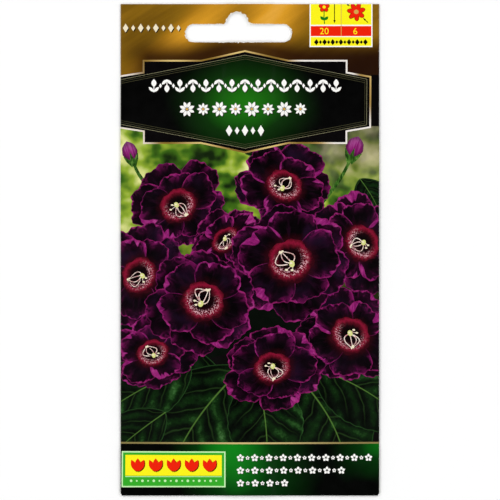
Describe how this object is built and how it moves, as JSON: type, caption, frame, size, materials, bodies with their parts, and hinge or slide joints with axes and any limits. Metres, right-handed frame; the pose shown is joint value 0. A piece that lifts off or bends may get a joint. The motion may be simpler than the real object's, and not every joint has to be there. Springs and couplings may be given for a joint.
{
  "type": "seed packet",
  "caption": "Flat printed paper seed packet with a glued header, a hanging slot, a lapped back and a bottom flap, holding pelleted seed in a foil sachet.",
  "frame": {"origin": "middle of the packet's underside, on the surface that it lies on", "axes": "+X to the right of the printed front, +Y towards the header with the hanging slot, +Z out of the printed front"},
  "size_m": [0.08, 0.152, 0.0034],
  "materials": {
    "printed_paper": "coated paper printed in dark purple, green and gold, satin",
    "dried_glue": "dried paper glue, matt",
    "sachet_foil": "bright rolled foil",
    "seed_coating": "matt clay coating"
  },
  "bodies": {
    "root": {"paper_packet": "printed_paper", "seam_glue": "dried_glue", "header_glue": "dried_glue", "flap_glue": "dried_glue", "sachet_back_foil": "sachet_foil", "sachet_front_foil": "sachet_foil", "seed_1": "seed_coating", "seed_2": "seed_coating", "seed_3": "seed_coating", "seed_4": "seed_coating", "seed_5": "seed_coating"}
  },
  "joints": []
}
